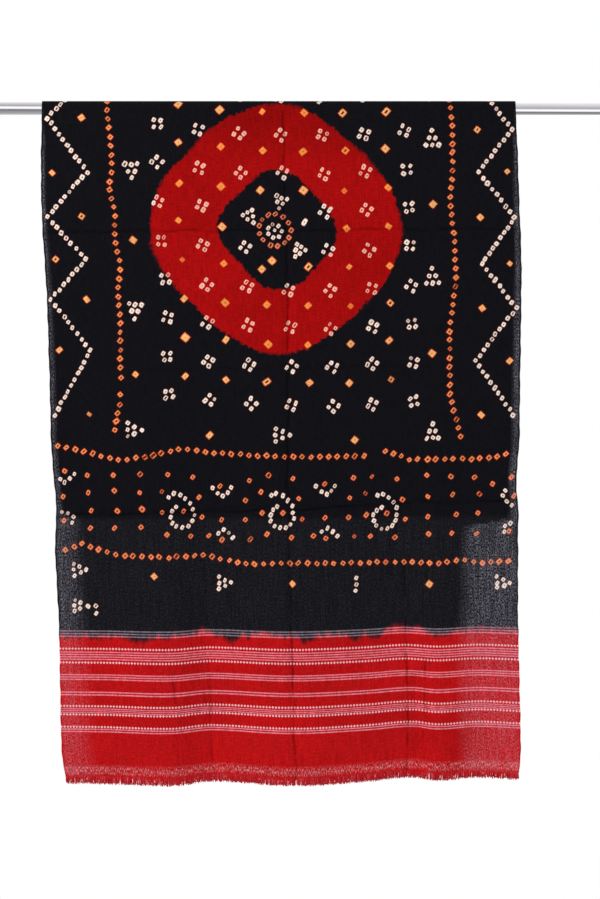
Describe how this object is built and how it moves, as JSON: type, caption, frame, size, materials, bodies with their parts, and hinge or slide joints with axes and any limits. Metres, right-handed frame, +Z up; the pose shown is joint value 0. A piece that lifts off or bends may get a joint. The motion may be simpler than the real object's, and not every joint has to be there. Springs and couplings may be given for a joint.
{
  "type": "shawl hung over a rod",
  "caption": "Tie-dyed rectangular shawl draped over a straight round rod, with a long front fall, a shorter back fall, striped ends and frayed hems.",
  "frame": {"origin": "middle of the rod's axis, where the rod is held", "axes": "+Z up, X along the rod with +X to the viewer's right, -Y towards the viewer, on the side of the long front fall"},
  "size_m": [1.27, 0.0571, 1.3238],
  "materials": {
    "rod_chrome": "polished chrome plate",
    "cloth_field": "loose plain weave, black tie-dyed with a red ring and cream and orange dots",
    "cloth_border": "loose plain weave, dyed red, with pale woven stripes",
    "cloth_fringe": "frayed red yarn ends"
  },
  "bodies": {
    "root": {"rod": "rod_chrome", "rod_fold": "cloth_field", "front_field": "cloth_field", "front_border": "cloth_border", "front_fringe": "cloth_fringe", "back_field": "cloth_field", "back_border": "cloth_border", "back_fringe": "cloth_fringe"}
  },
  "joints": []
}
